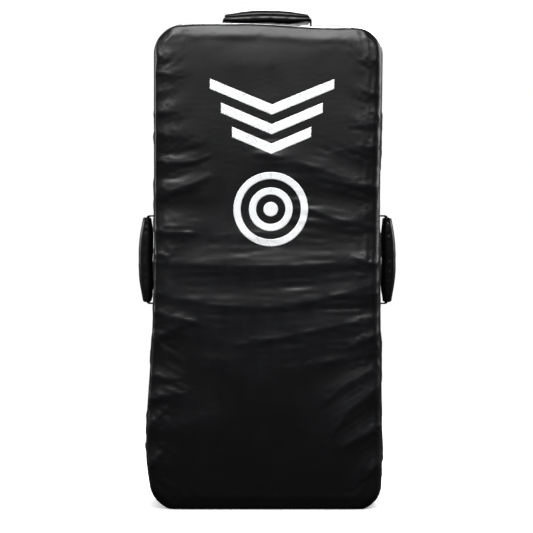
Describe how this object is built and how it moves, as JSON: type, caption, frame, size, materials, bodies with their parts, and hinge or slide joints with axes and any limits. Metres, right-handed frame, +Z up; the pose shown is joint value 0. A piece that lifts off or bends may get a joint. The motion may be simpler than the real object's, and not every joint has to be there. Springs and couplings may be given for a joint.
{
  "type": "kick shield",
  "caption": "Padded martial arts kick shield: laminated foam block in a black sewn cover with a back zip, carry handles on the top and sides and padded arm straps behind.",
  "frame": {"origin": "centre of the underside that the shield stands on", "axes": "+Z up the shield, -Y out of the struck face, +Y out of the back, +X to the right as seen from the front"},
  "size_m": [0.405, 0.2022, 0.7775],
  "materials": {
    "cover": "black PU-coated fabric, satin",
    "gusset": "black PU-coated fabric, satin",
    "grip_vinyl": "black PU-coated fabric, satin",
    "webbing": "black woven polypropylene",
    "thread": "black bonded polyester thread",
    "padding": "grey closed-cell foam",
    "firm_foam": "dark grey closed-cell foam",
    "core_foam": "pale open-cell foam",
    "zip_tape": "black woven polyester",
    "zip_coil": "black moulded nylon",
    "zip_metal": "dark gunmetal paint",
    "print": "off-white transfer film",
    "backing": "dark grey stiffened canvas"
  },
  "bodies": {
    "shield": {"front_panel": "cover", "back_panel_upper": "cover", "back_panel_lower": "cover", "gusset_top": "gusset", "gusset_bottom": "gusset", "gusset_left": "gusset", "gusset_right": "gusset", "foam_strike": "firm_foam", "foam_core_front": "core_foam", "foam_core_rear": "core_foam", "foam_back": "firm_foam", "zip_tape_upper": "zip_tape", "zip_tape_lower": "zip_tape", "zip_coil_upper": "zip_coil", "zip_coil_lower": "zip_coil", "zip_stops": "zip_metal", "zip_stitching": "thread", "chevron_print": "print", "target_print": "print", "backing_patches": "backing", "top_handle_tabs": "webbing", "top_handle_stitching": "thread", "left_handle_tabs": "webbing", "left_handle_stitching": "thread", "right_handle_tabs": "webbing", "right_handle_stitching": "thread", "left_arm_tabs": "webbing", "left_arm_stitching": "thread", "right_arm_tabs": "webbing", "right_arm_stitching": "thread"},
    "top_handle": {"top_handle_webbing": "webbing", "top_handle_padding": "padding", "top_handle_sleeve": "grip_vinyl"},
    "left_handle": {"left_handle_webbing": "webbing", "left_handle_padding": "padding", "left_handle_sleeve": "grip_vinyl"},
    "right_handle": {"right_handle_webbing": "webbing", "right_handle_padding": "padding", "right_handle_sleeve": "grip_vinyl"},
    "left_arm_strap": {"left_arm_webbing": "webbing", "left_arm_padding": "padding", "left_arm_sleeve": "grip_vinyl"},
    "right_arm_strap": {"right_arm_webbing": "webbing", "right_arm_padding": "padding", "right_arm_sleeve": "grip_vinyl"},
    "zip_slider": {"zip_slider": "zip_metal"},
    "zip_pull": {"zip_pull": "zip_metal"}
  },
  "joints": [
    {"name": "top_handle_swing", "type": "hinge", "parent": "shield", "child": "top_handle", "pos_m": [0, 0, 0.7506], "axis": [1, 0, 0], "range_deg": [-12, 12], "stiffness_Nm_per_rad": 0.05},
    {"name": "left_handle_swing", "type": "hinge", "parent": "shield", "child": "left_handle", "pos_m": [-0.1756, 0, 0.385], "axis": [0, 0, 1], "range_deg": [-12, 12], "stiffness_Nm_per_rad": 0.05},
    {"name": "right_handle_swing", "type": "hinge", "parent": "shield", "child": "right_handle", "pos_m": [0.1756, 0, 0.385], "axis": [0, 0, 1], "range_deg": [-12, 12], "stiffness_Nm_per_rad": 0.05},
    {"name": "left_arm_strap_swing", "type": "hinge", "parent": "shield", "child": "left_arm_strap", "pos_m": [-0.08, 0.0756, 0.4], "axis": [0, 0, 1], "range_deg": [-35, 35], "stiffness_Nm_per_rad": 0.05},
    {"name": "right_arm_strap_swing", "type": "hinge", "parent": "shield", "child": "right_arm_strap", "pos_m": [0.08, 0.0756, 0.4], "axis": [0, 0, 1], "range_deg": [-35, 35], "stiffness_Nm_per_rad": 0.05},
    {"name": "zip_slide", "type": "slide", "parent": "shield", "child": "zip_slider", "axis": [-1, 0, 0], "range_m": [0, 0.28]},
    {"name": "zip_pull_flip", "type": "hinge", "parent": "zip_slider", "child": "zip_pull", "pos_m": [0.1395, 0.08, 0.095], "axis": [0, 0, -1], "range_deg": [0, 170]}
  ]
}
